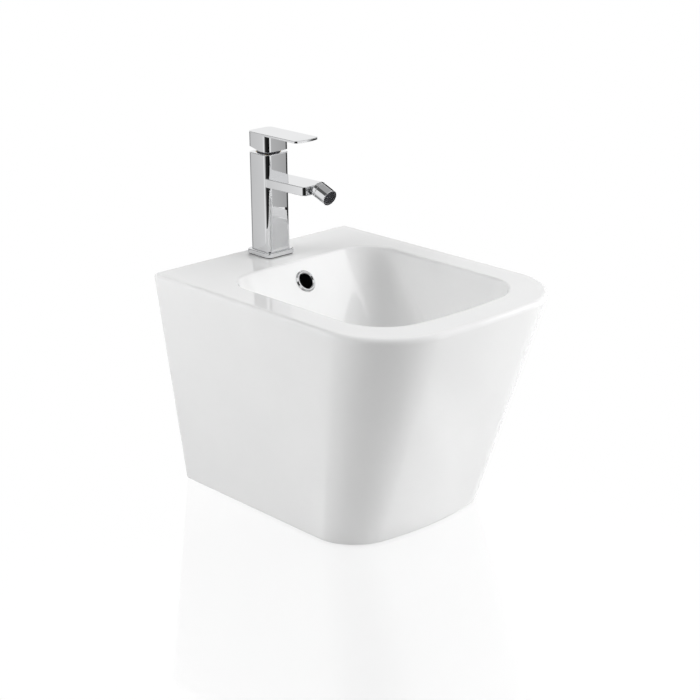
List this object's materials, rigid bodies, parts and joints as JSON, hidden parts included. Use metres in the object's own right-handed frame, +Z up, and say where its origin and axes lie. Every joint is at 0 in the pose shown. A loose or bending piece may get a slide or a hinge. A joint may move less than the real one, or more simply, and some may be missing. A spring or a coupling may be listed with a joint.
{
  "type": "wall-hung bidet",
  "caption": "Wall-hung ceramic bidet with tapered sides, a deep rounded basin, an overflow, a push plug and a square single-lever tap with a swivel aerator.",
  "frame": {"origin": "midway between the two wall stud holes, on the wall face", "axes": "+X to the right seen from the front, +Y into the wall, +Z up; the front looks along -Y"},
  "size_m": [0.3582, 0.4578, 0.4915],
  "materials": {
    "glaze": "gloss",
    "chrome": "polished",
    "brass": "machined",
    "steel": "satin",
    "rubber": "matte",
    "white_plastic": "matte",
    "grey_plastic": "matte",
    "dark_plastic": "matte",
    "disc_ceramic": "lapped"
  },
  "bodies": {
    "bidet": {"ceramic_body": "glaze", "stud_sleeves": "grey_plastic", "overflow_ring": "chrome", "waste_body": "chrome", "waste_top_seal": "rubber", "waste_cone_washer": "rubber", "waste_slip_washer": "white_plastic", "waste_back_nut": "brass", "plug_cartridge": "brass", "tap_body": "chrome", "tap_base_plate": "chrome", "tap_base_seal": "rubber", "mounting_stud": "brass", "horseshoe_gasket": "rubber", "horseshoe_washer": "steel", "mounting_nut": "brass", "cartridge_base": "white_plastic", "cartridge_seals": "rubber", "fixed_disc": "disc_ceramic", "cartridge_housing": "white_plastic", "retaining_nut": "brass", "cartridge_collar": "chrome", "ball_nipple": "chrome"},
    "lever_turn_carrier": {"cartridge_carrier": "white_plastic", "spindle_pin": "steel"},
    "lever": {"lever_handle": "chrome", "lever_spindle": "brass", "lever_grub_screw": "steel", "screw_cover": "grey_plastic"},
    "sliding_disc": {"moving_disc": "disc_ceramic"},
    "swivel_seat_ring": {"swivel_seat": "white_plastic"},
    "aerator": {"swivel_cap": "chrome", "aerator_housing": "chrome", "aerator_washer": "rubber", "aerator_insert": "dark_plastic"},
    "plug": {"plug_cap": "chrome", "plug_seal": "rubber", "plug_spindle": "steel"}
  },
  "joints": [
    {"name": "lever_turn", "type": "hinge", "parent": "bidet", "child": "lever_turn_carrier", "pos_m": [0, -0.04, 0.2274], "axis": [0, 0, 1], "range_deg": [-45, 45]},
    {"name": "lever_lift", "type": "hinge", "parent": "lever_turn_carrier", "child": "lever", "pos_m": [0, -0.04, 0.2274], "axis": [-1, 0, 0], "range_deg": [0, 22]},
    {"name": "disc_slide", "type": "slide", "parent": "lever_turn_carrier", "child": "sliding_disc", "axis": [0, -1, 0], "range_m": [0, 0.0028]},
    {"name": "aerator_tilt", "type": "hinge", "parent": "bidet", "child": "swivel_seat_ring", "pos_m": [0, -0.1467, 0.19864], "axis": [-1, 0, 0], "range_deg": [0, 43]},
    {"name": "aerator_swing", "type": "hinge", "parent": "swivel_seat_ring", "child": "aerator", "pos_m": [0, -0.1467, 0.19864], "axis": [0, -0.3502, 0.9367], "range_deg": [-15, 15]},
    {"name": "plug_lift", "type": "slide", "parent": "bidet", "child": "plug", "axis": [0, 0, 1], "range_m": [0, 0.009]}
  ],
  "couplings": [
    {"joint": "disc_slide", "follows": "lever_lift", "m_per_rad": 0.00722}
  ]
}
